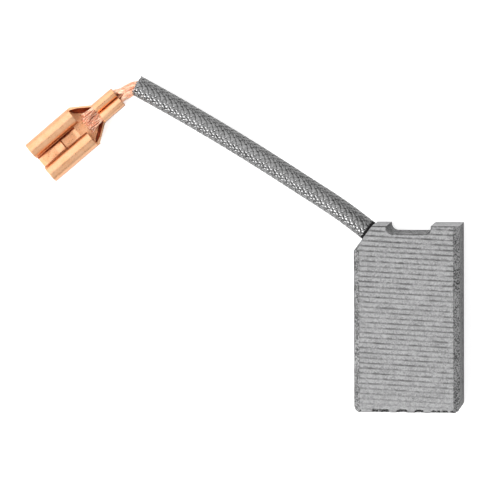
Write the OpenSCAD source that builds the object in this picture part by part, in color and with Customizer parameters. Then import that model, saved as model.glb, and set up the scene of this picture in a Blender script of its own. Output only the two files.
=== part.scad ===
// Carbon brush for a small motor.
// It lies on its broad back face, with its wear end towards -Y and the end that the
// brush spring presses towards +Y. The lead leaves a cut corner of the block, lies
// along the surface and ends in a push-on receptacle. All sizes are in millimetres.

/* [Carbon block] */
// Width of the carbon, across the brush holder
block_w = 12.5; // [9:0.1:18]
// Length of the carbon, from the wear end to the spring end
block_l = 22; // [16:0.5:32]
// Thickness of the carbon
block_h = 6.3; // [5:0.1:9]
// Bevel along the two long edges of the front face
edge_bevel = 0.7; // [0.3:0.05:1.2]
// Radius of the two corners at the wear end
wear_corner_r = 0.7; // [0.2:0.05:1.5]
// Width that the cut corner takes off the spring end
cut_w = 2.25; // [1.8:0.05:3]
// Length that the cut corner takes off the side
cut_l = 3; // [2.5:0.05:4]

/* [Spring seat] */
// Width of the notch that seats the spring
seat_w = 5.2; // [3:0.1:7]
// Depth of the notch
seat_depth = 0.95; // [0.5:0.05:1.4]
// Radius in the two corners of the notch
seat_corner_r = 0.8; // [0.2:0.05:1.4]
// How far the notch lies off the middle, away from the cut corner
seat_offset = 0.3; // [0:0.05:1]

/* [Saw lines on the front face] */
// Distance from one saw line to the next
line_pitch = 0.6; // [0.4:0.05:1.5]
// Width of a saw line at the surface
line_w = 0.14; // [0.08:0.01:0.3]
// Depth of a saw line
line_depth = 0.05; // [0.02:0.01:0.15]
// Slope of the saw lines across the face, in degrees
line_slope = 3; // [0:0.5:8]

/* [Lead] */
// Diameter of one bunch of copper wires
bunch_d = 0.55; // [0.4:0.01:0.6]
// Space from one bunch to the next
bunch_gap = 0.01; // [0.01:0.005:0.03]
// Place of the lead along the cut corner, from its side end
lead_shift = 2.65; // [2.2:0.05:2.8]
// Depth of the hole that the lead is set in
hole_depth = 6; // [4:0.1:8]
// Thickness of the contact powder packed round the lead
packing_t = 0.16; // [0.1:0.01:0.25]
// Depth of the packing's face below the mouth of the hole
packing_recess = 0.2; // [0:0.05:0.5]

/* [Sleeve] */
// Wall of the braided sleeve
sleeve_wall = 0.3; // [0.2:0.01:0.4]
// Space round the lead inside the sleeve
sleeve_play = 0.12; // [0.1:0.01:0.3]
// Gap from the block to the end of the sleeve
sleeve_gap = 0.1; // [0.05:0.05:0.5]

/* [Terminal] */
// Thickness of the copper sheet
sheet_t = 0.35; // [0.25:0.01:0.45]
// Inside radius where the sides are bent up from the floor
bend_r = 0.15; // [0.1:0.01:0.3]
// Width of the tab that the terminal is pushed onto
tab_w = 4.8; // [4.8:0.1:6.3]
// Thickness of that tab
tab_t = 0.8; // [0.5:0.05:1]
// Side play of the tab in the socket, on each side
tab_play = 0.075; // [0.025:0.025:0.2]
// How much the socket is tighter than the tab is thick
grip = 0.1; // [0:0.01:0.2]
// Length of the rolled socket
socket_l = 6.6; // [5:0.1:9]
// Outer radius of the two rolls
roll_r = 1.05; // [0.9:0.05:1.2]
// Turn of each roll, in degrees
roll_turn = 200; // [185:5:220]
// Length of the neck between the socket and the crimp
neck_l = 2.5; // [1.8:0.1:4]
// Straight part of the neck, behind the rolls
neck_straight = 0.3; // [0.1:0.05:0.6]
// Width of the flat edge where the neck's flared sides are bent up
neck_edge = 0.2; // [0.1:0.02:0.24]
// Height of the neck's sides
neck_h = 1.45; // [0.8:0.05:1.45]
// Length of the crimp round the lead
crimp_l = 3.05; // [2:0.05:5]
// Space between the two curled ears of the crimp
ear_gap = 0.04; // [0.02:0.01:0.1]
// Length of wire that stands out of the crimp's front
wire_tail = 2.1; // [0.5:0.1:2.4]

/* [Floor of the socket] */
// Height of the raised panel that the tab slides on
panel_h = 0.1; // [0.05:0.01:0.15]
// Width of the raised panel
panel_w = 2.4; // [1.8:0.1:3]
// Distance from the mouth to the raised panel
panel_start = 0.24; // [0.1:0.02:0.6]
// Length of the ramp at the panel's front end
panel_front_ramp = 0.28; // [0.1:0.02:0.6]
// Distance from the mouth to the panel's rear end
panel_end = 5.65; // [4.4:0.05:6]
// Length of the ramp at the panel's rear end
panel_rear_ramp = 0.45; // [0.1:0.05:0.8]
// Distance from the mouth to the catch that locks into the tab's hole
catch_start = 2.5; // [1.5:0.1:3]
// Length of the catch
catch_l = 0.9; // [0.5:0.05:1.2]
// Width of the catch
catch_w = 0.8; // [0.5:0.05:1.2]
// Height of the catch
catch_h = 0.2; // [0.1:0.01:0.3]

/* [Hidden] */
STRANDS = 7;
$fn = 48;
CORD_SIDES = 8;
OVER = 1; // how far a cutting solid reaches past the face it cuts

// The lead: a core bunch with six bunches round it, in rows of two, three and two
bunch_pitch = bunch_d + bunch_gap;
row_rise = bunch_pitch * sin(60);
rope_d = 2 * bunch_pitch + bunch_d;
hole_d = rope_d + 2 * packing_t;
sleeve_bore = rope_d + 2 * sleeve_play;
sleeve_d = sleeve_bore + 2 * sleeve_wall;
LAY = [[0, 0], [bunch_pitch, 0], [bunch_pitch / 2, row_rise], [-bunch_pitch / 2, row_rise],
       [-bunch_pitch, 0], [-bunch_pitch / 2, -row_rise], [bunch_pitch / 2, -row_rise]];

// Where the lead leaves the cut corner, and the way it points there
cut_face = sqrt(cut_w * cut_w + cut_l * cut_l);
cut_along = [cut_w, cut_l] / cut_face;
exit_x = -block_w / 2 + lead_shift * cut_along[0];
exit_y = block_l / 2 - cut_l + lead_shift * cut_along[1];
exit_z = block_h / 2;
exit_turn = 90 + atan2(cut_l, cut_w);
rest_z = sleeve_d / 2 + 0.02;

// Route of the lead, seen from the exit: distance along the exit's direction, distance to
// its left, and height as a share of the exit's height above the lying sleeve
ROUTE = [[4, 0, 1], [9.5, 0.4, 0.88], [15, 0.9, 0.58], [20.5, 1.5, 0.26], [26.5, 2.25, 0.05], [32.6, 3.1, 0]];
// The same past the sleeve's mouth, where the bare bunches fan out and turn to the terminal
FAN = [[33.3, 3.6, 0], [33.6, 4.5, 0]];
FAN_SPREAD = 1.14; // how far the bunches part there
// Place of the crimp's rear end, the way the terminal turns and how far its mouth is up
TERMINAL_AT = [33.65, 5.7];
TERMINAL_TURN = 77.3;
TERMINAL_LIFT = 6;
CRIMP_LEAD_IN = 0.2; // how far behind the crimp the bunches already lie as they do in it

// The crimp: its ears curl round the two upper bunches
curl_in_r = bunch_d / 2 + bunch_gap;
curl_r = curl_in_r + sheet_t;
curl_x = curl_r + ear_gap / 2;
crimp_w = 2 * (curl_x + curl_r);
middle_row_z = sheet_t + bunch_gap + bunch_d / 2 + row_rise;
curl_z = middle_row_z + bunch_pitch;
ear_tip_z = middle_row_z + bunch_d / 2 + 2 * bunch_gap;

// The socket
corner_r = bend_r + sheet_t;
socket_w = tab_w + 2 * tab_play + 2 * sheet_t;
roll_z = sheet_t + panel_h + tab_t - grip + roll_r * sin(roll_turn - 180);
socket_start = crimp_l + neck_l;
mouth = socket_start + socket_l;

function height(share) = rest_z + share * (exit_z - rest_z);
function unit(v) = v / norm(v);
function along(p, k) =
    k == 0 ? unit(p[1] - p[0]) :
    k == len(p) - 1 ? unit(p[k] - p[k - 1]) :
    unit(unit(p[k] - p[k - 1]) + unit(p[k + 1] - p[k]));
function left(d) = unit(cross([0, 0, 1], d));
function above(d) = cross(d, left(d));
// A point moved off a path: a to the left and b upwards, square to the path
function beside(p, k, a, b) = p[k] + a * left(along(p, k)) + b * above(along(p, k));
function ring(p, k, r) =
    [for (s = [0 : CORD_SIDES - 1]) beside(p, k, r * cos(360 * (s + 0.5) / CORD_SIDES),
                                           r * sin(360 * (s + 0.5) / CORD_SIDES))];
// A point of the terminal, given from its crimp's rear end, as seen from the exit
function from_terminal(p) =
    let (reach = p[0] * cos(TERMINAL_LIFT) - p[2] * sin(TERMINAL_LIFT),
         rise = p[0] * sin(TERMINAL_LIFT) + p[2] * cos(TERMINAL_LIFT))
    [TERMINAL_AT[0] + reach * cos(TERMINAL_TURN) - p[1] * sin(TERMINAL_TURN),
     TERMINAL_AT[1] + reach * sin(TERMINAL_TURN) + p[1] * cos(TERMINAL_TURN), rise];

// Middle line of the whole lead, and how far its bunches are parted at each point
hole_end = [[packing_recess - hole_depth, 0, exit_z]];
sleeve_line = concat([[sleeve_gap, 0, exit_z]], [for (p = ROUTE) [p[0], p[1], height(p[2])]]);
lead_line = concat(hole_end, [for (p = ROUTE) [p[0], p[1], height(p[2])]],
                   [for (p = FAN) [p[0], p[1], height(p[2])]],
                   [from_terminal([0, 0, middle_row_z])]);
function spread(k) = k > len(ROUTE) ? FAN_SPREAD : 1;
// Place of a bunch in the crimp: the two upper ones lie in the curls
function crimp_place(n) = LAY[n][1] > 0 ? [sign(LAY[n][0]) * curl_x, bunch_pitch] : LAY[n];
function strand_line(n) =
    concat([for (k = [0 : len(lead_line) - 2])
                beside(lead_line, k, LAY[n][0] * spread(k), LAY[n][1] * spread(k))],
           [for (u = [-CRIMP_LEAD_IN, crimp_l + wire_tail])
                from_terminal([u, crimp_place(n)[0], middle_row_z + crimp_place(n)[1]])]);

module at_exit() {
    translate([exit_x, exit_y, 0])
        rotate(exit_turn)
            children();
}

module at_terminal() {
    at_exit()
        translate([TERMINAL_AT[0], TERMINAL_AT[1], 0])
            rotate(TERMINAL_TURN)
                rotate([0, -TERMINAL_LIFT, 0])
                    children();
}

// A solid cord of round section along a path
module cord(p, r) {
    n = CORD_SIDES;
    last = len(p) - 1;
    polyhedron(
        points = [for (k = [0 : last]) each ring(p, k, r)],
        faces = concat(
            [[for (s = [0 : n - 1]) s]],
            [[for (s = [n - 1 : -1 : 0]) last * n + s]],
            [for (k = [0 : last - 1], s = [0 : n - 1])
                each [[k * n + s, (k + 1) * n + s, (k + 1) * n + (s + 1) % n],
                      [k * n + s, (k + 1) * n + (s + 1) % n, k * n + (s + 1) % n]]]));
}

// A hollow cord; the bore's flats, not its corners, lie at the inner radius
module hollow_cord(p, r, bore_r) {
    n = CORD_SIDES;
    last = len(p) - 1;
    inner = (last + 1) * n;
    polyhedron(
        points = concat([for (k = [0 : last]) each ring(p, k, r)],
                        [for (k = [0 : last]) each ring(p, k, bore_r / cos(180 / n))]),
        faces = concat(
            [for (k = [0 : last - 1], s = [0 : n - 1])
                each [[k * n + s, (k + 1) * n + s, (k + 1) * n + (s + 1) % n],
                      [k * n + s, (k + 1) * n + (s + 1) % n, k * n + (s + 1) % n]]],
            [for (k = [0 : last - 1], s = [0 : n - 1])
                each [[inner + k * n + s, inner + (k + 1) * n + (s + 1) % n, inner + (k + 1) * n + s],
                      [inner + k * n + s, inner + k * n + (s + 1) % n, inner + (k + 1) * n + (s + 1) % n]]],
            [for (s = [0 : n - 1])
                each [[s, (s + 1) % n, inner + (s + 1) % n],
                      [s, inner + (s + 1) % n, inner + s]]],
            [for (s = [0 : n - 1])
                each [[last * n + s, inner + last * n + s, inner + last * n + (s + 1) % n],
                      [last * n + s, inner + last * n + (s + 1) % n, last * n + (s + 1) % n]]]));
}

// Plan of the block: square spring end with a cut corner, round corners at the wear end
module block_plan() {
    difference() {
        union() {
            translate([-block_w / 2, -block_l / 2 + wear_corner_r])
                square([block_w, block_l - wear_corner_r]);
            translate([-block_w / 2 + wear_corner_r, -block_l / 2])
                square([block_w - 2 * wear_corner_r, 2 * wear_corner_r]);
            for (side = [-1, 1])
                translate([side * (block_w / 2 - wear_corner_r), -block_l / 2 + wear_corner_r])
                    circle(wear_corner_r);
        }
        translate([-block_w / 2, block_l / 2])
            polygon([[0, -cut_l], [cut_w, 0], [cut_w, OVER], [-OVER, OVER], [-OVER, -cut_l]]);
        translate([seat_offset, block_l / 2 - seat_depth])
            seat_plan();
    }
}

// Plan of the notch, from its floor upwards
module seat_plan() {
    r = min(seat_corner_r, seat_depth);
    translate([-seat_w / 2 + r, 0])
        square([seat_w - 2 * r, r]);
    translate([-seat_w / 2, r])
        square([seat_w, seat_depth - r + OVER]);
    for (side = [-1, 1])
        translate([side * (seat_w / 2 - r), r])
            circle(r);
}

// The saw lines: a comb of shallow V cuts, a little askew
module saw_lines() {
    reach = block_w + block_l * sin(line_slope);
    count = floor(block_l / line_pitch / 2);
    rotate(-line_slope)
        rotate([90, 0, 90])
            linear_extrude(reach, center = true)
                for (k = [-count : count])
                    translate([k * line_pitch, block_h])
                        polygon([[0, -line_depth], [line_w, line_depth], [-line_w, line_depth]]);
}

module carbon_block() {
    color([0.42, 0.42, 0.43])
        difference() {
            linear_extrude(block_h)
                block_plan();
            for (side = [-1, 1])
                translate([side * block_w / 2, 0, block_h])
                    rotate([90, 0, 0])
                        linear_extrude(block_l + 2 * OVER, center = true)
                            polygon([[-side * edge_bevel, 0], [-side * edge_bevel, OVER], [side * OVER, OVER],
                                     [side * OVER, -edge_bevel], [0, -edge_bevel]]);
            saw_lines();
            at_exit()
                translate([-hole_depth, 0, exit_z])
                    rotate([0, 90, 0])
                        cylinder(h = hole_depth + OVER, d = hole_d);
        }
}

// Contact powder tamped round the lead in its hole
module lead_packing() {
    color([0.35, 0.24, 0.18])
        at_exit()
            translate([-hole_depth, 0, exit_z])
                rotate([0, 90, 0])
                    difference() {
                        cylinder(h = hole_depth - packing_recess, d = hole_d);
                        translate([0, 0, packing_recess])
                            cylinder(h = hole_depth, d = rope_d + 2 * bunch_gap);
                    }
}

module braided_sleeve() {
    color([0.2, 0.2, 0.21])
        at_exit()
            hollow_cord(sleeve_line, sleeve_d / 2, sleeve_bore / 2);
}

module strand(n) {
    color([0.86, 0.5, 0.36])
        at_exit()
            cord(strand_line(n), bunch_d / 2);
}

// A band of sheet bent round a centre, from its outer radius inwards, over a turn that
// starts pointing right and goes anticlockwise
module bent_band(r, turn) {
    difference() {
        circle(r);
        circle(r - sheet_t);
        if (turn < 180)
            rotate(turn)
                translate([-2 * r, 0])
                    square([4 * r, 2 * r]);
        if (turn <= 180)
            translate([-2 * r, -2 * r])
                square([4 * r, 2 * r]);
        if (turn > 180)
            polygon([[0, 0], 2 * r * [cos(turn), sin(turn)], 2 * r * [cos(turn / 2 + 180), sin(turn / 2 + 180)],
                     [2 * r, 0]]);
    }
}

// Right half of a sheet bent up from the floor: floor, corner and upright side
module bent_side(half_w, side_h) {
    square([half_w - corner_r, sheet_t]);
    translate([half_w - corner_r, corner_r])
        rotate(-90)
            bent_band(corner_r, 90);
    translate([half_w - sheet_t, corner_r])
        square([sheet_t, side_h - corner_r]);
}

// Section of the socket: each side stands up from the floor and rolls over inwards
module socket_section() {
    for (side = [0, 1])
        mirror([side, 0]) {
            bent_side(socket_w / 2, roll_z);
            translate([socket_w / 2 - roll_r, roll_z])
                bent_band(roll_r, roll_turn);
        }
}

// Section of the crimp: each ear curls over and down between the bunches
module crimp_section() {
    for (side = [0, 1])
        mirror([side, 0]) {
            bent_side(crimp_w / 2, curl_z);
            translate([curl_x, curl_z])
                bent_band(curl_r, 180);
            translate([curl_x - curl_r, ear_tip_z])
                square([sheet_t, curl_z - ear_tip_z]);
        }
}

// A section drawn with its width along X and its height along Y, run along the terminal
module run_along(start, length) {
    translate([start, 0, 0])
        rotate([90, 0, 90])
            linear_extrude(length)
                children();
}

// Section of the neck's flared side, seen along the flare, with its outer face at zero
module flared_side(floor_w) {
    polygon([[-floor_w, 0], [-neck_edge, 0], [0, neck_edge], [0, neck_h], [-sheet_t, neck_h],
             [-sheet_t, corner_r], [-corner_r, sheet_t], [-floor_w, sheet_t]]);
}

// The neck: its floor widens and its sides flare from the crimp to the socket
module neck() {
    flare_l = neck_l - neck_straight;
    flare = atan2((socket_w - crimp_w) / 2, flare_l);
    flared_floor = 2 * corner_r;
    inset = 0.75 * flared_floor / cos(flare);
    linear_extrude(sheet_t)
        polygon([[crimp_l, inset - crimp_w / 2], [crimp_l, crimp_w / 2 - inset],
                 [crimp_l + flare_l, socket_w / 2 - inset], [crimp_l + flare_l, inset - socket_w / 2]]);
    for (side = [0, 1])
        mirror([0, side, 0])
            intersection() {
                translate([crimp_l, crimp_w / 2, 0])
                    rotate(flare)
                        rotate([90, 0, 90])
                            linear_extrude(4 * neck_l, center = true)
                                flared_side(flared_floor);
                translate([crimp_l, -socket_w, -OVER])
                    cube([flare_l, 2 * socket_w, neck_h + 2 * OVER]);
            }
    run_along(crimp_l + flare_l, neck_straight)
        for (side = [0, 1])
            mirror([side, 0])
                bent_side(socket_w / 2, neck_h);
}

// Outline of the floor's raised panel, seen from the side
module panel_side() {
    translate([mouth, 0])
        polygon([[-panel_start, 0], [-panel_start - panel_front_ramp, panel_h],
                 [-panel_end + panel_rear_ramp, panel_h], [-panel_end, 0]]);
}

// Outline of the catch on it: a ramp from the mouth side, with a steep back
module catch_side() {
    translate([mouth - catch_start, 0])
        polygon([[0, 0], [0, panel_h], [-catch_l * 0.85, panel_h + catch_h], [-catch_l, panel_h], [-catch_l, 0]]);
}

// A side outline made into a bar across the terminal, pushed up from a given height
module across(width, z) {
    translate([0, width / 2, z])
        rotate([90, 0, 0])
            linear_extrude(width)
                children();
}

module terminal() {
    color([0.87, 0.55, 0.34])
        at_terminal()
            difference() {
                union() {
                    run_along(0, crimp_l)
                        crimp_section();
                    neck();
                    run_along(socket_start, socket_l)
                        socket_section();
                    across(panel_w, sheet_t)
                        panel_side();
                    across(catch_w, sheet_t)
                        catch_side();
                }
                across(panel_w, 0)
                    panel_side();
                across(catch_w, 0)
                    catch_side();
            }
}

carbon_block();
lead_packing();
braided_sleeve();
terminal();
for (k = [1 : STRANDS]) strand(k - 1);
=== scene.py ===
import math
import random

import bmesh
import bpy
from mathutils import Matrix, Vector, noise


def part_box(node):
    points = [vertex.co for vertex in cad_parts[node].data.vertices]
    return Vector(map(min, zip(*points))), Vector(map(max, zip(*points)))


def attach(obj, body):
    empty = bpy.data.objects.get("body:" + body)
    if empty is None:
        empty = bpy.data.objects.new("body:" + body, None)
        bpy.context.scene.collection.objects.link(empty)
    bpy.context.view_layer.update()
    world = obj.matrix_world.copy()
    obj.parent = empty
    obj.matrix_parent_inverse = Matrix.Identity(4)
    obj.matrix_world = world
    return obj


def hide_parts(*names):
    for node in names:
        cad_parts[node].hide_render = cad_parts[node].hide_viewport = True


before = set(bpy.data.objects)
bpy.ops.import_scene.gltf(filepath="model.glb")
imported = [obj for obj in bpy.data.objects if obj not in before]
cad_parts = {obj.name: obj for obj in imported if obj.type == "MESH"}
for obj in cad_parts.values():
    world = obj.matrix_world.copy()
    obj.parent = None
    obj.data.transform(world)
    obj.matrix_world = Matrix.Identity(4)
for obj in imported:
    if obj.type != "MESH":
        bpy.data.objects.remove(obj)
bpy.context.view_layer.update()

MM = 0.001
UP = Vector((0, 0, 1))

# Carbon block: its corners from the frame, then its bevel, saw lines, chips and notch
BLOCK_LOW, BLOCK_HIGH = [Vector(corner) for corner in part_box("carbon_block")]
FRONT_Z = BLOCK_HIGH.z
EDGE_BEVEL = 0.7 * MM
LINE_PITCH = 0.6 * MM
LINE_SLOPE = math.radians(3)
LINE_DEPTH = 0.05 * MM
FRONT_SKIN = 0.06 * MM
EDGE_SKIN = 0.08 * MM
CHIP_REACH = 0.42 * MM
CHIP_DEPTH = 0.45 * MM
FRONT_STEPS = 96
NOTCH_X = 0.3 * MM
NOTCH_HALF_W = 2.6 * MM
NOTCH_FLOOR_Y = 10.05 * MM
NOTCH_CORNER_R = 0.8 * MM

# Lead: a core bunch with six round it, in a braided sleeve
BUNCH_D = 0.55 * MM
BUNCH_PITCH = 0.56 * MM
ROW_RISE = BUNCH_PITCH * math.sin(math.radians(60))
LAY = [(0, 0), (BUNCH_PITCH, 0), (BUNCH_PITCH / 2, ROW_RISE), (-BUNCH_PITCH / 2, ROW_RISE),
       (-BUNCH_PITCH, 0), (-BUNCH_PITCH / 2, -ROW_RISE), (BUNCH_PITCH / 2, -ROW_RISE)]
SLEEVE_D = 2.51 * MM
REST_Z = SLEEVE_D / 2 + 0.02 * MM

# Braid: yarns each way, the length of one over-and-under, and a yarn's section in half widths
BRAID_YARNS = 12
BRAID_CELL = 0.82 * MM
YARN_HALF_W = 0.215 * MM
YARN_HALF_T = 0.042 * MM
YARN_SECTION = [(-1, -0.2), (-0.85, 0.6), (-0.4, 0.93), (0, 1), (0.4, 0.93), (0.85, 0.6), (1, -0.2),
                (0.5, -1), (-0.5, -1)]
YARN_SWAY = 0.035
YARN_SWELL = 0.012 * MM
BRAID_R = SLEEVE_D / 2 - 2.1 * YARN_HALF_T
BRAID_ANGLE = math.atan2(2 * math.pi * BRAID_R, BRAID_YARNS * BRAID_CELL)
LINING_R = BRAID_R - 1.5 * YARN_HALF_T
LINING_BORE = 0.96
LINING_SIDES = 24
DARK_END = 0.42 * MM

# Fine wires of a bunch: those round its core, the turn they make, and how far they spread
WIRE_D = 0.14 * MM
WIRES_ROUND = 10
WIRE_LAY = 11 * MM
WIRE_SPREAD = 0.55 * MM
BARE_L = 9.6 * MM

# Route of the lead from its exit: along the exit's direction, to its left, and height as
# a share of the exit's height above the lying sleeve
EXIT = Vector((-4.66, 10.12, 3.15)) * MM
EXIT_TURN = math.radians(143.13)
SLEEVE_START = (0.1 * MM, 0, 1)
HOLE_END = (-5.8 * MM, 0, 1)
ROUTE = [(4 * MM, 0, 1), (9.5 * MM, 0.4 * MM, 0.88), (15 * MM, 0.9 * MM, 0.58),
         (20.5 * MM, 1.5 * MM, 0.26), (26.5 * MM, 2.25 * MM, 0.05), (32.6 * MM, 3.1 * MM, 0)]
BUNCH_ROUTE = ROUTE[:-1] + [(31.6 * MM, 2.95 * MM, 0), (32.45 * MM, 3.33 * MM, 0),
                            (32.88 * MM, 3.92 * MM, 0), (33.22 * MM, 4.72 * MM, 0)]
FAN_SPREAD = 0.95

# Terminal, seen from its crimp's rear end: along it, to its left, and up
SHEET_T = 0.35 * MM
CORNER_R = 0.5 * MM
CRIMP_L = 3.05 * MM
CRIMP_W = 2.58 * MM
CURL_X = 0.655 * MM
CURL_Z = 1.68 * MM
EAR_TIP_Z = 1.415 * MM
MIDDLE_ROW_Z = 1.12 * MM
CRIMP_LEAD_IN = 0.2 * MM
WIRE_TAIL = 2.1 * MM
FLARE_END = 5.25 * MM
NECK_STEPS = [3.17 * MM, 3.8 * MM, 4.5 * MM, 5.13 * MM]
NECK_LEAN = 0.4 * MM
EDGE_THINNED = 0.17 * MM
NECK_H = 1.45 * MM
SOCKET_START = 5.55 * MM
SOCKET_W = 5.65 * MM
ROLL_R = 1.05 * MM
ROLL_Z = 1.509 * MM
ROLL_TURN = math.radians(200)
MOUTH = 12.15 * MM
PANEL = dict(half_w=1.2 * MM, h=0.1 * MM, front=11.91 * MM, front_top=11.63 * MM,
             rear_top=6.95 * MM, rear=6.5 * MM, step=0.05 * MM)
# Half width of the floor strip kept clear of painted shade
UNSHADED_HALF_W = 0.58 * MM
CATCH = dict(half_w=0.4 * MM, h=0.2 * MM, front=9.65 * MM, top=8.885 * MM, rear=8.75 * MM)

AT_EXIT = Matrix.Translation((EXIT.x, EXIT.y, 0)) @ Matrix.Rotation(EXIT_TURN, 4, "Z")
AT_TERMINAL = (AT_EXIT @ Matrix.Translation((33.65 * MM, 5.7 * MM, 0))
               @ Matrix.Rotation(math.radians(77.3), 4, "Z")
               @ Matrix.Rotation(math.radians(-6), 4, "Y"))


# ---------------------------------------------------------------- camera

def set_camera():
    place = Vector((47.07, 49.286, 470)) * MM
    target = Vector((-19.494, 8.374, 3)) * MM
    data = bpy.data.cameras.new("camera")
    data.sensor_width = 36
    data.lens = 293.55
    data.clip_start = 0.01
    data.clip_end = 20
    camera = bpy.data.objects.new("camera", data)
    bpy.context.scene.collection.objects.link(camera)
    back = (place - target).normalized()
    right = Vector((0, 1, 0)).cross(back).normalized()
    above = back.cross(right)
    roll = -0.0062
    turned_right = right * math.cos(roll) + above * math.sin(roll)
    turned_above = above * math.cos(roll) - right * math.sin(roll)
    camera.matrix_world = Matrix((
        (turned_right.x, turned_above.x, back.x, place.x),
        (turned_right.y, turned_above.y, back.y, place.y),
        (turned_right.z, turned_above.z, back.z, place.z),
        (0, 0, 0, 1)))
    bpy.context.scene.camera = camera


set_camera()


# ---------------------------------------------------------------- finishes

class Finish:
    """A material in the making: its nodes, its shader and the place on the piece."""

    def __init__(self, name):
        self.material = bpy.data.materials.new(name)
        self.material.use_nodes = True
        self.tree = self.material.node_tree
        self.shader = self.tree.nodes["Principled BSDF"]
        self.place = self.tree.nodes.new("ShaderNodeTexCoord").outputs["Object"]

    def add(self, kind, inputs=(), **settings):
        node = self.tree.nodes.new(kind)
        for key, value in settings.items():
            setattr(node, key, value)
        for key, value in dict(inputs).items():
            self.join(value, node.inputs[key])
        return node

    def join(self, value, socket):
        if isinstance(value, bpy.types.NodeSocket):
            self.tree.links.new(value, socket)
        else:
            socket.default_value = value

    def set(self, **values):
        for key, value in values.items():
            self.join(value, self.shader.inputs[key.replace("_", " ").title().replace("Ior", "IOR")])

    def noise(self, size, detail=3.0, roughness=0.5, distortion=0.0):
        """Cloudy noise whose lumps are about the given size."""
        return self.add("ShaderNodeTexNoise", {
            "Vector": self.place, "Scale": 1 / size, "Detail": detail,
            "Roughness": roughness, "Distortion": distortion}).outputs["Fac"]

    def cells(self, size):
        """Distance to the nearest of scattered points, which lie about the given size apart."""
        return self.add("ShaderNodeTexVoronoi", {
            "Vector": self.place, "Scale": 1 / size}).outputs["Distance"]

    def remap(self, value, low, high, to_low=0.0, to_high=1.0):
        return self.add("ShaderNodeMapRange", {
            "Value": value, "From Min": low, "From Max": high,
            "To Min": to_low, "To Max": to_high}).outputs[0]

    def math(self, operation, first, second=0.5):
        return self.add("ShaderNodeMath", {0: first, 1: second}, operation=operation).outputs[0]

    def blend(self, share, first, second):
        """A colour between two others."""
        node = self.add("ShaderNodeMix", data_type="RGBA")
        for socket, value in ((0, share), (6, first), (7, second)):
            if isinstance(value, tuple):
                value = (*value, 1)
            self.join(value, node.inputs[socket])
        return node.outputs[2]

    def bump(self, height, distance, strength=1.0):
        return self.add("ShaderNodeBump", {
            "Height": height, "Distance": distance, "Strength": strength}).outputs[0]

    def attribute(self, name):
        return self.add("ShaderNodeAttribute", attribute_name=name).outputs["Fac"]


def grey(level):
    return (level, level, level * 1.01)


def carbon_finish(name, light, dark, spread, roughness, front=False):
    """Pressed carbon: a grey speckle of light and dark grains, with dark pores, and chips painted
    near-black as dark fracture and shade.
    """
    f = Finish(name)
    clouds = f.noise(1.6 * MM, 3)
    grains = f.noise(0.22 * MM, 3, 0.8)
    few = f.remap(f.noise(0.5 * MM, 1), 0.45, 0.55)
    pores = f.math("MULTIPLY", f.remap(f.cells(0.26 * MM), 0.16, 0.3, 1, 0), few)
    mottled = f.math("ADD", f.math("MULTIPLY", clouds, 0.2), f.math("MULTIPLY", grains, 0.8))
    colour = f.blend(f.remap(mottled, 0.5 - spread, 0.5 + spread), grey(dark), grey(light))
    colour = f.blend(f.math("MULTIPLY", pores, 0.35 if front else 0.9), colour, grey(dark * 0.45))
    if front:
        colour = f.blend(saw_marks(f), colour, grey(0.1))
        colour = f.blend(dark_rims(f), colour, grey(0.055))
    # Chips and broken edges: painted near-black, partly dark fracture and partly painted shade
    fray = f.remap(f.noise(0.17 * MM, 3, 0.6), 0.3, 0.7, -0.1, 1.4)
    crumbs_and_shade = f.math("MULTIPLY", f.attribute("broken"), fray)
    colour = f.blend(f.remap(crumbs_and_shade, 0.28, 0.42), colour, grey(0.012))
    f.set(base_color=colour, roughness=f.remap(grains, 0.3, 0.7, roughness, roughness + 0.2),
          specular_ior_level=0.45)
    f.set(normal=f.bump(f.math("SUBTRACT", grains, f.math("MULTIPLY", pores, 0.8)), 0.035 * MM, 0.9))
    return f.material


def saw_marks(f):
    """Darkens the saw lines of the front, patchy and speckled, fainter towards the wear end."""
    place = f.add("ShaderNodeSeparateXYZ", {0: f.place}).outputs
    wander = f.math("MULTIPLY", f.noise(2.2 * MM, 2), 0.09 * MM)
    fray = f.math("MULTIPLY", f.noise(0.22 * MM, 2, 0.7), 0.2 * MM)
    across = f.math("ADD", f.math("MULTIPLY", place[1], math.cos(LINE_SLOPE)),
                    f.math("MULTIPLY", place[0], math.sin(LINE_SLOPE)))
    across = f.math("ADD", f.math("ADD", across, wander), f.math("SUBTRACT", fray, 0.145 * MM))
    off = f.math("PINGPONG", f.math("DIVIDE", across, LINE_PITCH), 0.5)
    line = f.remap(off, 0.06, 0.28, 1, 0)
    patches = f.remap(f.noise(1.1 * MM, 3, 0.6), 0.36, 0.6, 0.2, 1)
    along = f.remap(place[1], BLOCK_LOW.y + 1.0 * MM, BLOCK_LOW.y + 3.2 * MM, 0.25, 0.8)
    along = f.math("ADD", along, f.remap(place[1], 2 * MM, 10 * MM, 0, 0.25))
    return f.math("MULTIPLY", f.math("MULTIPLY", line, patches), along)


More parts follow.
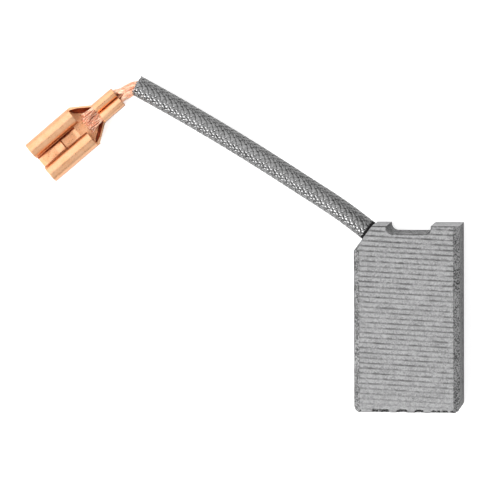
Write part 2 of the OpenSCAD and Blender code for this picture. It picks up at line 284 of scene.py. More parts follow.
def dark_rims(f):
    """Dark rims of the front: at the spring end, round the notch and along the bevels."""
    place = f.add("ShaderNodeSeparateXYZ", {0: f.place}).outputs
    ragged = f.math("MULTIPLY", f.noise(0.2 * MM, 3, 0.7), 0.34 * MM)
    to_end = f.math("SUBTRACT", BLOCK_HIGH.y, place[1])
    aside = f.math("SUBTRACT", f.math("ABSOLUTE", f.math("SUBTRACT", place[0], NOTCH_X)), NOTCH_HALF_W)
    below = f.math("SUBTRACT", NOTCH_FLOOR_Y, place[1])
    aside = f.math("MAXIMUM", f.math("ADD", aside, NOTCH_CORNER_R), 0)
    below = f.math("MAXIMUM", f.math("ADD", below, NOTCH_CORNER_R), 0)
    squares = f.math("ADD", f.math("MULTIPLY", aside, aside), f.math("MULTIPLY", below, below))
    corner = f.math("SQRT", squares)
    to_notch = f.math("SUBTRACT", corner, NOTCH_CORNER_R)
    to_rim = f.math("ADD", f.math("MINIMUM", to_end, to_notch), ragged)
    rim = f.remap(to_rim, 0.2 * MM, 0.36 * MM, 1, 0)
    to_bevel = f.math("SUBTRACT", BLOCK_HIGH.x - EDGE_BEVEL, f.math("ABSOLUTE", place[0]))
    to_bevel = f.math("ADD", to_bevel, f.math("MULTIPLY", ragged, 0.6))
    dashes = f.remap(to_bevel, 0.08 * MM, 0.16 * MM, 0.8, 0)
    return f.math("MAXIMUM", rim, dashes)


def powder_finish():
    f = Finish("tamped_contact_powder")
    grains = f.cells(0.07 * MM)
    spots = f.noise(0.12 * MM, 3, 0.7)
    colour = f.blend(f.remap(spots, 0.4, 0.6), (0.07, 0.05, 0.045), (0.3, 0.16, 0.1))
    f.set(base_color=colour, roughness=0.75, metallic=f.remap(spots, 0.52, 0.62, 0, 0.7))
    f.set(normal=f.bump(grains, 0.03 * MM))
    return f.material


def yarn_finish():
    """Dark glossy yarn: fine filaments along each yarn, yarns that differ a little, and painted shade
    at each yarn's edges and where it goes under.
    """
    f = Finish("braided_yarn")
    uv = f.add("ShaderNodeUVMap", uv_map="along_yarn").outputs[0]
    filaments = f.add("ShaderNodeTexNoise", {
        "Vector": f.add("ShaderNodeMapping", {"Vector": uv, "Scale": (14, 0.9, 1)}).outputs[0],
        "Scale": 1.0, "Detail": 3.0, "Roughness": 0.6}).outputs["Fac"]
    shade = f.attribute("yarn_shade")
    clouds = f.noise(0.55 * MM, 2)
    level = f.math("ADD", f.math("MULTIPLY", filaments, 0.5), f.math("MULTIPLY", clouds, 0.5))
    level = f.math("ADD", f.remap(level, 0.42, 0.6), f.math("MULTIPLY", shade, 0.3))
    colour = f.blend(level, grey(0.018), grey(0.15))
    round_yarn = f.add("ShaderNodeSeparateXYZ", {0: uv}).outputs[0]
    from_crown = f.math("ABSOLUTE", f.math("SUBTRACT", round_yarn, 3 / len(YARN_SECTION)))
    # Painted shade: near-black at each yarn's edges and where it goes under the yarns across it
    gap_shade = f.math("MAXIMUM", f.remap(from_crown, 0.17, 0.3), f.attribute("under"))
    colour = f.blend(gap_shade, colour, grey(0.004))
    f.set(base_color=colour, roughness=f.remap(filaments, 0.3, 0.7, 0.2, 0.34))
    f.set(specular_ior_level=1.0, ior=1.7, coat_weight=0.8, coat_roughness=0.16, coat_ior=1.8,
          normal=f.bump(filaments, 0.01 * MM, 0.5))
    return f.material


def end_shade_finish():
    """Painted shade: dull black on the sleeve's end, where it goes into the block."""
    f = Finish("painted_shade_at_sleeve_end")
    specks = f.noise(0.15 * MM, 3, 0.6)
    f.set(base_color=f.blend(f.remap(specks, 0.4, 0.6), grey(0.004), grey(0.02)),
          roughness=f.remap(specks, 0.3, 0.7, 0.75, 0.95), specular_ior_level=0.2,
          normal=f.bump(specks, 0.01 * MM, 0.6))
    return f.material


def wire_finish():
    """Bare soft copper wire, pinkish, with duller and redder stretches."""
    f = Finish("bare_copper_wire")
    spots = f.noise(0.35 * MM, 4, 0.65)
    streaks = f.noise(0.12 * MM, 2, 0.6)
    colour = f.blend(f.remap(spots, 0.4, 0.62), (1.0, 0.5, 0.32), (1.0, 0.78, 0.6))
    colour = f.blend(f.math("MULTIPLY", f.attribute("cut_end"), 0.3), colour, (0.9, 0.25, 0.12))
    f.set(base_color=colour, roughness=f.remap(streaks, 0.3, 0.7, 0.3, 0.5))
    f.set(metallic=0.75, normal=f.bump(streaks, 0.006 * MM))
    return f.material


def sheet_finish():
    """Bright rolled copper sheet with fine scratches, dull spots and small dents."""
    f = Finish("rolled_copper_sheet")
    clouds = f.noise(1.4 * MM, 4, 0.6)
    spots = f.noise(0.16 * MM, 4, 0.7)
    specks = f.remap(f.cells(0.5 * MM), 0.0, 0.16, 1, 0)
    colour = f.blend(f.remap(clouds, 0.35, 0.65), (0.93, 0.49, 0.26), (0.96, 0.58, 0.35))
    colour = f.blend(f.remap(spots, 0.5, 0.66, 0, 0.4), colour, (0.78, 0.33, 0.16))
    colour = f.blend(f.math("MULTIPLY", specks, 0.5), colour, (0.3, 0.12, 0.06))
    f.set(base_color=colour, roughness=f.remap(f.math("ADD", clouds, spots), 0.75, 1.25, 0.22, 0.42))
    height = f.math("ADD", f.math("MULTIPLY", spots, 0.5), clouds)
    f.set(metallic=1.0, normal=f.bump(height, 0.012 * MM, 0.8))
    return f.material


def stamped_finish():
    """The same copper where the stamp has pressed it: darker, dull and speckled."""
    f = Finish("stamped_copper")
    clouds = f.noise(0.8 * MM, 3, 0.6)
    grains = f.noise(0.11 * MM, 4, 0.7)
    pits = f.remap(f.noise(0.2 * MM, 2, 0.6, distortion=0.4), 0.3, 0.42, 1, 0)
    level = f.math("ADD", f.math("MULTIPLY", grains, 0.75), f.math("MULTIPLY", clouds, 0.25))
    colour = f.blend(f.remap(level, 0.4, 0.6), (0.86, 0.4, 0.19), (1.0, 0.6, 0.36))
    colour = f.blend(f.math("MULTIPLY", pits, 0.7), colour, (0.3, 0.11, 0.05))
    f.set(base_color=colour, roughness=f.remap(grains, 0.35, 0.65, 0.38, 0.55))
    f.set(metallic=0.9, normal=f.bump(grains, 0.03 * MM, 0.9))
    return f.material


def foot_shade_finish():
    """The sheet's outer sides: painted shade, dark and brownish at the foot as the shadowed floor's
    reflection, bright towards the top.
    """
    f = Finish("copper_painted_dark_at_foot")
    spots = f.noise(0.3 * MM, 4, 0.7)
    up = f.add("ShaderNodeSeparateXYZ", {0: f.place}).outputs[2]
    up = f.math("ADD", up, f.math("MULTIPLY", f.math("SUBTRACT", spots, 0.5), 0.7 * MM))
    colour = f.blend(f.remap(up, 1.2 * MM, 2.0 * MM), (0.32, 0.14, 0.07), (0.95, 0.53, 0.3))
    f.set(base_color=colour, roughness=f.remap(spots, 0.35, 0.65, 0.3, 0.45))
    f.set(metallic=1.0, normal=f.bump(spots, 0.012 * MM, 0.8))
    return f.material


def shaded_copper_finish():
    """Painted shade: copper painted dark and reddish in the bends of the neck and on the floor strips
    under the rolls.
    """
    f = Finish("copper_painted_in_shade")
    spots = f.noise(0.25 * MM, 4, 0.7)
    colour = f.blend(f.remap(spots, 0.38, 0.62), (0.2, 0.035, 0.012), (0.5, 0.14, 0.06))
    f.set(base_color=colour, roughness=f.remap(spots, 0.35, 0.65, 0.3, 0.5))
    f.set(metallic=0.9, normal=f.bump(spots, 0.015 * MM, 0.8))
    return f.material


# ---------------------------------------------------------------- ways of working

def deselect_all():
    if bpy.context.object and bpy.context.object.mode != "OBJECT":
        bpy.ops.object.mode_set(mode="OBJECT")
    bpy.ops.object.select_all(action="DESELECT")


def take(piece):
    deselect_all()
    bpy.context.view_layer.objects.active = piece
    piece.select_set(True)


def edit(piece):
    take(piece)
    bpy.ops.object.mode_set(mode="EDIT")
    bpy.ops.mesh.select_mode(type="FACE")


def leave():
    bpy.ops.object.mode_set(mode="OBJECT")


def pick(piece, wanted, mode="FACE"):
    """In edit mode, selects just the faces, edges or corners that pass a test."""
    bpy.ops.mesh.select_mode(type=mode)
    bpy.ops.mesh.select_all(action="DESELECT")
    shape = bmesh.from_edit_mesh(piece.data)
    parts = {"FACE": shape.faces, "EDGE": shape.edges, "VERT": shape.verts}[mode]
    for part in parts:
        if wanted(part):
            part.select_set(True)
    bmesh.update_edit_mesh(piece.data)


def middle(part):
    """Middle of a face or an edge."""
    if isinstance(part, bmesh.types.BMEdge):
        return (part.verts[0].co + part.verts[1].co) / 2
    return part.calc_center_median()


def cut(piece, wanted, point, normal):
    """Bisects the faces that pass a test."""
    pick(piece, wanted)
    bpy.ops.mesh.bisect(plane_co=point, plane_no=normal, threshold=0.0001 * MM)


def add_modifier(piece, kind, **settings):
    take(piece)
    modifier = piece.modifiers.new(kind.lower(), kind)
    for key, value in settings.items():
        setattr(modifier, key, value)
    bpy.ops.object.modifier_apply(modifier=modifier.name)


def smooth(piece, degrees):
    take(piece)
    bpy.ops.object.shade_smooth_by_angle(angle=math.radians(degrees))


def new_piece(name, mesh):
    piece = bpy.data.objects.new(name, mesh)
    bpy.context.scene.collection.objects.link(piece)
    return piece


def dress(piece, slot, *materials, kind=None):
    """Gives a piece its finishes, and each face its finish by its kind; the slot is not used."""
    piece.data.materials.clear()
    for material in materials:
        piece.data.materials.append(material)
    if kind:
        for face in piece.data.polygons:
            face.material_index = kind(face)


class Tubes:
    """Collects rings of points into closed tubes of one mesh."""

    def __init__(self):
        self.points = []
        self.faces = []
        self.marks = []
        self.values = {}

    def add(self, rings, step, values):
        """Adds a tube with closed ends; values holds, by name, a value for each ring."""
        first = len(self.points)
        sides = len(rings[0])
        for k, ring in enumerate(rings):
            self.points.extend(ring)
            for name, by_ring in values.items():
                self.values.setdefault(name, []).extend([by_ring[k]] * sides)
        for k in range(len(rings) - 1):
            for s in range(sides):
                t = (s + 1) % sides
                a, b = first + k * sides, first + (k + 1) * sides
                self.faces.append((a + s, a + t, b + t, b + s))
                self.marks.append(((s / sides, k * step), ((s + 1) / sides, k * step),
                                   ((s + 1) / sides, (k + 1) * step), (s / sides, (k + 1) * step)))
        last = first + (len(rings) - 1) * sides
        for start, order in ((first, range(sides - 1, -1, -1)), (last, range(sides))):
            self.faces.append([start + s for s in order])
            self.marks.append([(s / sides, 0) for s in order])

    def piece(self, name):
        mesh = bpy.data.meshes.new(name)
        mesh.from_pydata([tuple(point) for point in self.points], [], self.faces)
        uv = mesh.uv_layers.new(name="along_yarn")
        flat = [mark for marks in self.marks for mark in marks]
        for loop, mark in zip(uv.data, flat):
            loop.uv = mark
        for key, values in self.values.items():
            layer = mesh.attributes.new(key, "FLOAT", "POINT")
            layer.data.foreach_set("value", values)
        mesh.validate()
        for polygon in mesh.polygons:
            polygon.use_smooth = True
        return new_piece(name, mesh)


# ---------------------------------------------------------------- the lead

def height(share):
    return REST_Z + share * (EXIT.z - REST_Z)


def route_point(point):
    return AT_EXIT @ Vector((point[0], point[1], height(point[2])))


def directions(points):
    steps = [(b - a).normalized() for a, b in zip(points, points[1:])]
    middles = [(a + b).normalized() for a, b in zip(steps, steps[1:])]
    return [steps[0]] + middles + [steps[-1]]


def smooth_path(points, step):
    """A smooth line through the points, with a point about every step."""
    along = directions(points)
    line = []
    for k in range(len(points) - 1):
        reach = (points[k + 1] - points[k]).length
        count = max(2, round(reach / step))
        for n in range(count):
            t = n / count
            line.append(points[k] * (2 * t ** 3 - 3 * t ** 2 + 1)
                        + points[k + 1] * (3 * t ** 2 - 2 * t ** 3)
                        + along[k] * reach * (t ** 3 - 2 * t ** 2 + t)
                        + along[k + 1] * reach * (t ** 3 - t ** 2))
    line.append(points[-1].copy())
    return line


def length_of(points):
    return sum((b - a).length for a, b in zip(points, points[1:]))


def even_path(points, step):
    """The same line with its points evenly spaced."""
    total = length_of(points)
    count = round(total / step)
    line = [points[0].copy()]
    k = 0
    passed = 0
    for n in range(1, count):
        want = n * total / count
        while passed + (points[k + 1] - points[k]).length < want:
            passed += (points[k + 1] - points[k]).length
            k += 1
        share = (want - passed) / (points[k + 1] - points[k]).length
        line.append(points[k].lerp(points[k + 1], share))
    line.append(points[-1].copy())
    return line


def circle(station, radius, sides):
    """A ring of points round a line, square to it."""
    point, forward, left, above = station
    return [point + (left * math.cos(a) + above * math.sin(a)) * radius
            for a in [2 * math.pi * s / sides for s in range(sides)]]


def frames(line):
    """Each point of a line with its forward, left and upward directions."""
    found = []
    for point, forward in zip(line, directions(line)):
        left = UP.cross(forward).normalized()
        found.append((point, forward, left, forward.cross(left)))
    return found


def yarn_rings(stations, step, way, number):
    """Sections of one yarn of the braid, and how far each is under the yarns across it, which the
    yarn's colour paints as shade.
    """
    rings = []
    depths = []
    start_turn = 2 * math.pi * number / BRAID_YARNS
    for k, (point, forward, left, above) in enumerate(stations):
        passed = k * step
        sway = YARN_SWAY * noise.noise(Vector((passed / (3 * MM), number * 7.3, way * 3.1)))
        turn = start_turn + way * (2 * math.pi * passed / (BRAID_YARNS * BRAID_CELL)) + sway
        # One way is on top at even crossings, the other way at odd ones
        lift = way * math.cos(2 * math.pi * passed / BRAID_CELL)
        swell = YARN_SWELL * noise.noise(Vector((passed / (2 * MM), number * 3.7, 5 + way)))
        outward = left * math.cos(turn) + above * math.sin(turn)
        sideways = above * math.cos(turn) - left * math.sin(turn)
        across = sideways * math.cos(BRAID_ANGLE) - forward * way * math.sin(BRAID_ANGLE)
        centre = point + outward * (BRAID_R + YARN_HALF_T * lift * 0.95 + swell)
        narrow = 1 - 0.12 * (lift < -0.3)
        rings.append([centre + across * (-a) * YARN_HALF_W * narrow + outward * b * YARN_HALF_T
                      for a, b in YARN_SECTION])
        depths.append(min(1, max(0, 0.35 - 0.9 * lift)))
    return rings, depths


def braided_sleeve():
    """Twelve flat yarns each way, over one and under one, on a thin lining."""
    rough = smooth_path([route_point(SLEEVE_START)] + [route_point(p) for p in ROUTE], 0.5 * MM)
    line = even_path(rough, BRAID_CELL / 8)
    step = length_of(line) / (len(line) - 1)
    stations = frames(line)
    tubes = Tubes()
    rng = random.Random(4)
    for way in (1, -1):
        for number in range(BRAID_YARNS):
            shade = rng.random()
            tail = rng.randrange(0, 3)
            rings, depths = yarn_rings(stations[:len(stations) - tail], step, way, number)
            tubes.add(rings, step / MM, {"yarn_shade": [shade] * len(rings), "under": depths})
    few = stations[::4] + [stations[-1]]
    lining = [circle(station, LINING_R, LINING_SIDES) for station in few]
    bore = [[station[0] + (point - station[0]) * LINING_BORE for point in ring]
            for station, ring in zip(few, lining)]
    hollow(tubes, lining, bore)
    return tubes.piece("woven_sleeve"), line


def yarn_kind(face):
    """Kind 1 for the first stretch of the sleeve out of the block, painted black as shade; 0 for the
    rest.
    """
    out_of_block = Vector((math.cos(EXIT_TURN), math.sin(EXIT_TURN), 0))
    return int((face.center - EXIT).dot(out_of_block) < DARK_END)


def hollow(tubes, outer, inner):
    """A tube with a bore: the outer rings out, round the end and back along the inner ones."""
    first = len(tubes.points)
    sides = len(outer[0])
    rings = outer + inner[::-1]
    for ring in rings:
        tubes.points.extend(ring)
        tubes.values.setdefault("yarn_shade", []).extend([0.0] * sides)
        # The lining is painted near-black as shade
        tubes.values.setdefault("under", []).extend([1.0] * sides)
    count = len(rings)
    for k in range(count):
        a = first + k * sides
        b = first + (k + 1) % count * sides
        for s in range(sides):
            t = (s + 1) % sides
            tubes.faces.append((a + s, a + t, b + t, b + s))
            tubes.marks.append(((0, 0), (1, 0), (1, 1), (0, 1)))


def terminal_point(u, v, z):
    return AT_TERMINAL @ Vector((u, v, z))


def bunch_line(number):
    """Middle line of a bunch, from the hole's end to its cut end in the neck."""
    lead = ([route_point(HOLE_END)] + [route_point(p) for p in BUNCH_ROUTE]
            + [terminal_point(0, 0, MIDDLE_ROW_Z)])
    a, b = LAY[number]
    points = []
    for k, (point, forward, left, above) in enumerate(frames(lead)[:-1]):
        spread = FAN_SPREAD if k > len(BUNCH_ROUTE) - 3 else 1
        points.append(point + left * a * spread + above * b * spread)
    if b > 0:
        a, b = math.copysign(CURL_X, a), BUNCH_PITCH
    for u in (-CRIMP_LEAD_IN, CRIMP_L + WIRE_TAIL):
        points.append(terminal_point(u, a, MIDDLE_ROW_Z + b))
    return points


def wire_middle(station, turn, out, side, rise, loose):
    """Middle of a wire that winds round its bunch, and spreads as it comes loose."""
    point, forward, left, above = station
    return (point + left * (out * math.cos(turn) + side * WIRE_SPREAD * loose)
            + above * (out * math.sin(turn) + (rise * 0.4 - 0.2) * MM * loose))


def copper_bunch(number):
    """A bunch of fine wires: a core all the way, and its outer wires where they show."""
    rng = random.Random(20 + number)
    line = smooth_path(bunch_line(number), 0.25 * MM)
    total = length_of(line)
    bare_from = total - BARE_L
    tubes = Tubes()
    core_r = BUNCH_D / 2 - WIRE_D * 0.72
    passed = 0
    core = []
    wires = [[] for _ in range(WIRES_ROUND)]
    marks = [[] for _ in range(WIRES_ROUND)]
    splay = [(rng.uniform(-1, 1), rng.uniform(-0.6, 1), rng.uniform(-0.9, 0.3) * MM)
             for _ in range(WIRES_ROUND)]
    previous = line[0]
    for station in frames(line):
        passed += (station[0] - previous).length
        previous = station[0]
        if passed < total - WIRE_TAIL:
            core.append(circle(station, core_r if passed > bare_from else BUNCH_D / 2 * 0.97, 8))
        if passed < bare_from:
            continue
        past_crimp = max(0, passed - (total - WIRE_TAIL))
        loose = (past_crimp / WIRE_TAIL) ** 1.4
        for n, (side, rise, extra) in enumerate(splay):
            if past_crimp > WIRE_TAIL + min(0, extra):
                continue
            turn = 2 * math.pi * (n / WIRES_ROUND + passed / WIRE_LAY)
            out = BUNCH_D / 2 - WIRE_D / 2 + 0.008 * MM * noise.noise(Vector((passed / MM, n, number)))
            middle_point = wire_middle(station, turn, out, side, rise, loose)
            wires[n].append(circle((middle_point, *station[1:]), WIRE_D / 2, 6))
            marks[n].append(loose)
    tubes.add(core, 0.25, {"cut_end": [0.0] * len(core)})
    for rings, loose in zip(wires, marks):
        tubes.add(rings, 0.25, {"cut_end": loose})
    return tubes.piece("copper_bunch_" + str(number + 1))


sleeve, sleeve_path = braided_sleeve()
dress(sleeve, "sleeve", yarn_finish(), end_shade_finish(), kind=yarn_kind)
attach(sleeve, "root")
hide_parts("braided_sleeve")

wire = wire_finish()
for number in range(len(LAY)):
    bunch = copper_bunch(number)
    dress(bunch, "copper_strand", wire)
    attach(bunch, "root")
    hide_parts("strand_" + str(number + 1))


# ---------------------------------------------------------------- the terminal

def half_width(u):
    """Half the width of the terminal's floor and sides at a distance from its rear end."""
    if u <= CRIMP_L:
        return CRIMP_W / 2
    if u >= FLARE_END:
        return SOCKET_W / 2
    share = (u - CRIMP_L) / (FLARE_END - CRIMP_L)
    return (CRIMP_W + share * (SOCKET_W - CRIMP_W)) / 2


def near(value, wanted, reach=0.002 * MM):
    return abs(value - wanted) < reach


def flat_blank():
    """The sheet's floor before bending, left in edit mode: narrow at the crimp, flared at the neck."""
    deselect_all()
    bpy.ops.mesh.primitive_plane_add(size=1, location=(MOUTH / 2, 0, 0))
    piece = bpy.context.object
    piece.name = piece.data.name = "formed_terminal"
    bpy.ops.transform.resize(value=(MOUTH, 2 * CRIMP_W, 1))
    bpy.ops.object.transform_apply(location=True, rotation=True, scale=True)
    edit(piece)
    # Outward is down, so that the sheet gets its thickness upwards
    bpy.ops.mesh.select_all(action="SELECT")
    bpy.ops.mesh.flip_normals()
    stations = [CRIMP_L, *NECK_STEPS, FLARE_END, SOCKET_START, PANEL["rear"], PANEL["rear_top"],
                CATCH["rear"], CATCH["top"], CATCH["front"], PANEL["front_top"], PANEL["front"]]
    for u in stations:
        cut(piece, lambda face: True, (u, 0, 0), (1, 0, 0))
    pick(piece, lambda vert: True, "VERT")
    shape = bmesh.from_edit_mesh(piece.data)
    for vert in shape.verts:
        vert.co.y = math.copysign(half_width(vert.co.x), vert.co.y)
    bmesh.update_edit_mesh(piece.data)
    return piece


def bend_sides_up(piece):
    """Both long sides up, each with a round fold at its foot."""
    pick(piece, lambda edge: abs(middle(edge).y) > CRIMP_W * 0.4 and near(edge.verts[0].co.z, 0)
         and abs(edge.verts[0].co.x - edge.verts[1].co.x) > 0.01 * MM, "EDGE")
    bpy.ops.mesh.extrude_region_move(TRANSFORM_OT_translate={"value": (0, 0, NECK_H)})
    pick(piece, lambda edge: near(edge.verts[0].co.z, 0) and near(edge.verts[1].co.z, 0)
         and len(edge.link_faces) == 2
         and abs(edge.link_faces[0].normal.z - edge.link_faces[1].normal.z) > 0.5, "EDGE")
    bpy.ops.mesh.bevel(offset=CORNER_R, segments=6, affect="EDGES", clamp_overlap=False)


def push_on_terminal():
    """One sheet: floor, sides bent up, sides rolled over at the socket and curled at the crimp."""
    piece = flat_blank()
    bend_sides_up(piece)
    lean_neck(piece)
    roll_sides(piece)
    curl_ears(piece)
    raise_panel(piece)
    leave()
    add_modifier(piece, "SOLIDIFY", thickness=SHEET_T, offset=-1, use_even_offset=True)
    thin_neck_edges(piece)
    add_modifier(piece, "BEVEL", width=0.035 * MM, segments=2, limit_method="ANGLE",
                 angle_limit=math.radians(50))
    piece.data.transform(AT_TERMINAL)
    smooth(piece, 40)
    return piece


def in_neck(u):
    return NECK_STEPS[0] - 0.01 * MM < u < NECK_STEPS[-1] + 0.01 * MM


def lean_neck(piece):
    """The neck's sides lean outwards: their feet come in and their top edges stay."""
    shape = bmesh.from_edit_mesh(piece.data)
    for vert in shape.verts:
        if in_neck(vert.co.x) and vert.co.z < NECK_H * 0.5:
            vert.co.y -= math.copysign(NECK_LEAN, vert.co.y)
    bmesh.update_edit_mesh(piece.data)


def thin_neck_edges(piece):
    """The neck's top edges are thinned from the inside, as the bending left them."""
    for vert in piece.data.vertices:
        u, v, z = vert.co
        inner = abs(v) < half_width(u) - SHEET_T * 0.6
        if in_neck(u) and z > NECK_H - 0.2 * MM and inner:
            vert.co.y += math.copysign(EDGE_THINNED, v)


def top_edge(edge, low, high):
    """A free edge along the top of the bent sides, between two distances from the rear end."""
    first, second = edge.verts[0].co, edge.verts[1].co
    return (near(first.z, NECK_H) and near(second.z, NECK_H) and low < middle(edge).x < high
            and len(edge.link_faces) == 1 and abs(first.x - second.x) > 0.01 * MM)


def roll_sides(piece):
    for side in (-1, 1):
        pick(piece, lambda edge: top_edge(edge, SOCKET_START, MOUTH) and middle(edge).y * side > 0,
             "EDGE")
        bpy.ops.mesh.extrude_region_move(TRANSFORM_OT_translate={"value": (0, 0, ROLL_Z - NECK_H)})
        bpy.ops.mesh.spin(steps=30, angle=-side * ROLL_TURN, axis=(1, 0, 0),
                          center=(0, side * (SOCKET_W / 2 - ROLL_R), ROLL_Z))


def curl_ears(piece):
    for side in (-1, 1):
        pick(piece, lambda edge: top_edge(edge, 0, CRIMP_L) and middle(edge).y * side > 0, "EDGE")
        bpy.ops.mesh.extrude_region_move(TRANSFORM_OT_translate={"value": (0, 0, CURL_Z - NECK_H)})
        bpy.ops.mesh.spin(steps=20, angle=-side * math.pi, axis=(1, 0, 0),
                          center=(0, side * CURL_X, CURL_Z))
        bpy.ops.mesh.extrude_region_move(TRANSFORM_OT_translate={"value": (0, 0, EAR_TIP_Z - CURL_Z)})


def raise_panel(piece):
    """The raised panel in the floor, with the catch on it."""
    def floor(face):
        return near(face.normal.z, -1, 0.001) and middle(face).x > SOCKET_START

    for v in (PANEL["half_w"], PANEL["half_w"] + PANEL["step"], CATCH["half_w"],
              CATCH["half_w"] + PANEL["step"], UNSHADED_HALF_W):
        for side in (-1, 1):
            cut(piece, floor, (0, side * v, 0), (0, 1, 0))
    slack = 0.001 * MM
    shape = bmesh.from_edit_mesh(piece.data)
    for vert in shape.verts:
        u, v, z = vert.co
        on_panel = PANEL["rear_top"] - slack < u < PANEL["front_top"] + slack
        if near(z, 0) and on_panel and abs(v) < PANEL["half_w"] + slack:
            vert.co.z = PANEL["h"]
            if abs(v) < CATCH["half_w"] + slack and near(u, CATCH["top"]):
                vert.co.z = PANEL["h"] + CATCH["h"]
    bmesh.update_edit_mesh(piece.data)


SHEET, STAMPED, SHADED, OUTSIDE = 0, 1, 2, 3


def sheet_kind(face):
    """The floor is stamped; its strips under the rolls and the neck's inner sides get painted shade."""
    centre = AT_TERMINAL.inverted() @ face.center
    normal = AT_TERMINAL.inverted().to_3x3() @ face.normal
    low = SHEET_T - 0.05 * MM < centre.z < SHEET_T + 0.15 * MM
    # Painted shade on the floor strips under the rolls
    if low and normal.z > 0.9 and centre.x > PANEL["rear"] and abs(centre.y) > UNSHADED_HALF_W:
        return SHADED
    if low and normal.z > 0.99 and CRIMP_L < centre.x < PANEL["front"]:
        return STAMPED
    outward = normal.y * math.copysign(1, centre.y)
    along_neck = CRIMP_L - 0.05 * MM < centre.x < SOCKET_START
    # Painted shade and reflection on the neck's inner sides
    if outward < -0.3 and along_neck and centre.z < NECK_H - 0.02 * MM:
        return SHADED
    # Outer sides: painted dark at the foot
    if outward > 0.9 and abs(centre.y) > half_width(centre.x) - 0.12 * MM:
        return OUTSIDE
    return SHEET


terminal = push_on_terminal()
dress(terminal, "copper_sheet", sheet_finish(), stamped_finish(), shaded_copper_finish(), foot_shade_finish(),
      kind=sheet_kind)
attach(terminal, "root")
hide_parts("terminal")


# ---------------------------------------------------------------- the carbon block

def merged_copy(node, name):
    piece = new_piece(name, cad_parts[node].data.copy())
    edit(piece)
    bpy.ops.mesh.select_all(action="SELECT")
    bpy.ops.mesh.remove_doubles(threshold=0.0005 * MM)
    bpy.ops.mesh.customdata_custom_splitnormals_clear()
    bpy.ops.mesh.select_all(action="SELECT")
    bpy.ops.mesh.dissolve_limited(angle_limit=math.radians(0.4))
    return piece


def on_front(face):
    return face.normal.z > 0.5 and middle(face).z > FRONT_Z - FRONT_SKIN


def on_wear_end(face):
    return face.normal.y < -0.9 and middle(face).y < BLOCK_LOW.y + 0.02 * MM


def carbon_body():
    block = merged_copy("carbon_block", "carbon_body")
    border = BLOCK_HIGH.x - EDGE_BEVEL
    for side in (-1, 1):
        cut(block, on_front, (side * (border - 0.09 * MM), 0, 0), (1, 0, 0))
    for n in range(1, FRONT_STEPS):
        x = -border + 2 * border * n / FRONT_STEPS
        cut(block, lambda face: on_front(face) or on_wear_end(face), (x, 0, 0), (1, 0, 0))
    cut(block, on_wear_end, (0, 0, FRONT_Z - 0.3 * MM), (0, 0, 1))
    for share in (0.45, 1):
        cut(block, on_front, (0, BLOCK_LOW.y + CHIP_REACH * share, 0), (0, 1, 0))
    leave()
    mesh = block.data
    broken = mesh.attributes.new("broken", "FLOAT", "POINT")
    for vert, mark in zip(mesh.vertices, broken.data):
        mark.value = roughen(vert.co, border)
    smooth(block, 20)
    return block


def chip_off(co, from_end):
    """Breaks a corner of the mesh off the wear edge, most of all left of the middle."""
    chip = noise.noise(Vector((co.x / (0.9 * MM), 3.7, 1.2)))
    chip += 0.6 * noise.noise(Vector((co.x / (0.4 * MM), 9, 4)))
    weight = 0.3 + 0.8 * math.exp(-((co.x + 0.9 * MM) / (2.3 * MM)) ** 2)
    depth = min(CHIP_REACH * 0.8, max(0, chip * 2 + 0.25) * weight * CHIP_DEPTH)
    share = 1 - from_end
    co.y += depth * share
    co.z -= depth * share ** 2
    return min(1.5, depth / (0.09 * MM)) * (1 - 0.65 * from_end)


def unsteady_line(co):
    """Makes a saw line wander, and its width and depth change along it."""
    turned = co.y * math.cos(LINE_SLOPE) + co.x * math.sin(LINE_SLOPE)
    line = round(turned / LINE_PITCH)
    off = turned - line * LINE_PITCH
    if abs(off) >= 0.08 * MM or not BLOCK_LOW.y + 0.2 * MM < co.y < BLOCK_HIGH.y - 0.2 * MM:
        return
    wander = 0.03 * MM * noise.noise(Vector((co.x / (2.2 * MM), line * 5.1, 0)))
    wander += 0.014 * MM * noise.noise(Vector((co.x / (0.4 * MM), line * 2.3, 7)))
    width = 1 + 0.55 * noise.noise(Vector((co.x / (0.8 * MM), line * 3.3, 3)))
    co.y += wander + off * (width - 1)
    if co.z < FRONT_Z - 0.01 * MM:
        deep = 0.75 + 0.9 * noise.noise(Vector((co.x / (1.3 * MM), line * 1.7, 9)))
        co.z = FRONT_Z - LINE_DEPTH * min(1.3, max(0.12, deep))


def roughen(co, border):
    """Moves a corner of the mesh as the saw and the wear left it; says how broken it is there, which
    the colour paints as dark fracture and shade.
    """
    from_end = (co.y - BLOCK_LOW.y) / CHIP_REACH
    if from_end < 0.99 and co.z > FRONT_Z - EDGE_SKIN and abs(co.x) < border - 0.02 * MM:
        return chip_off(co, from_end)
    if co.z > FRONT_Z - FRONT_SKIN and abs(co.x) < border - 0.01 * MM:
        unsteady_line(co)
    if near(abs(co.x), border, 0.01 * MM) and co.z > FRONT_Z - EDGE_SKIN:
        return max(0.05, min(0.36, 0.22 + 0.8 * noise.noise(Vector((co.x, co.y / (0.7 * MM), 2)))))
    return 0.0


SAWN, ENDS, ROUGH, SIDES = 0, 1, 2, 3


def face_kind(polygon):
    normal, centre = polygon.normal, polygon.center
    in_bevel = abs(normal.x) > 0.3 and 0.4 < normal.z < 0.9
    in_notch = abs(centre.x - NOTCH_X) < NOTCH_HALF_W + 0.1 * MM and centre.y > 9.5 * MM
    if in_bevel or in_notch and centre.y < BLOCK_HIGH.y - 0.01 * MM and normal.z < 0.5:
        return ROUGH
    if normal.z > 0.5:
        return SAWN
    return SIDES if abs(normal.x) > 0.3 else ENDS


block = carbon_body()
# Light and dark of the grains, how softly they part, and roughness
dress(block, "carbon",
      carbon_finish("sawn_carbon", 0.44, 0.25, 0.1, 0.42, front=True),
      carbon_finish("moulded_carbon", 0.62, 0.28, 0.12, 0.5),
      carbon_finish("rough_carbon", 0.41, 0.045, 0.07, 0.6),
      carbon_finish("side_carbon", 0.37, 0.06, 0.08, 0.58), kind=face_kind)
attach(block, "root")
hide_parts("carbon_block")

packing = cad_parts["lead_packing"]
packing.data.materials.clear()
packing.data.materials.append(powder_finish())


# ---------------------------------------------------------------- floor and light

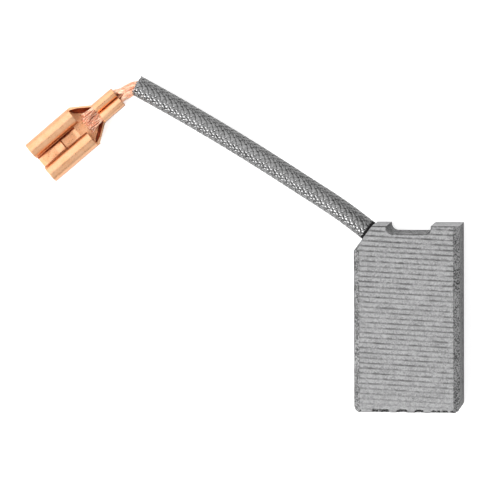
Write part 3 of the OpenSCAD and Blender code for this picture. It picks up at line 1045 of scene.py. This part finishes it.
def lay_floor():
    deselect_all()
    bpy.ops.mesh.primitive_plane_add(size=4, location=(0, 0, 0))
    floor = bpy.context.object
    floor.name = floor.data.name = "floor"
    f = Finish("white_floor")
    f.set(base_color=(0.8, 0.8, 0.8, 1), roughness=0.9)
    tree = f.tree
    seen = f.add("ShaderNodeLightPath")
    glow = f.add("ShaderNodeEmission", {"Color": (1, 1, 1, 1)})
    to_camera = f.math("MULTIPLY", seen.outputs["Is Camera Ray"], 0.62)
    to_metal = f.math("MULTIPLY", seen.outputs["Is Glossy Ray"], 0.12)
    tree.links.new(f.math("ADD", to_camera, to_metal), glow.inputs["Strength"])
    joined = f.add("ShaderNodeAddShader")
    tree.links.new(f.shader.outputs[0], joined.inputs[0])
    tree.links.new(glow.outputs[0], joined.inputs[1])
    tree.links.new(joined.outputs[0], tree.nodes["Material Output"].inputs["Surface"])
    floor.data.materials.append(f.material)


LIT_POINT = Vector((-20, 8, 2)) * MM


def soft_box(name, azimuth, tilt, distance, width, length, radiance):
    """A square soft light that faces the middle of the object; angles in degrees, lengths in metres."""
    data = bpy.data.lights.new(name, "AREA")
    data.shape = "RECTANGLE"
    data.size = width
    data.size_y = length
    data.energy = radiance * math.pi * width * length
    lamp = bpy.data.objects.new(name, data)
    bpy.context.scene.collection.objects.link(lamp)
    azimuth, tilt = math.radians(azimuth), math.radians(tilt)
    level = math.sin(tilt)
    away = Vector((level * math.cos(azimuth), level * math.sin(azimuth), math.cos(tilt)))
    lamp.location = LIT_POINT + away * distance
    lamp.rotation_euler = away.to_track_quat("Z", "Y").to_euler()


def light_scene():
    scene = bpy.context.scene
    scene.view_settings.view_transform = "Standard"
    world = bpy.data.worlds.new("studio")
    world.use_nodes = True
    world.node_tree.nodes["Background"].inputs["Color"].default_value = (1, 1, 1, 1)
    world.node_tree.nodes["Background"].inputs["Strength"].default_value = 0.16
    scene.world = world
    soft_box("main_soft_box", 130, 40, 0.6, 1.25, 1.25, 1.25)
    soft_box("fill_soft_box", 310, 47, 0.8, 0.98, 0.98, 0.66)
    soft_box("low_soft_box", 233, 50, 0.8, 0.4, 0.34, 9)


lay_floor()
light_scene()
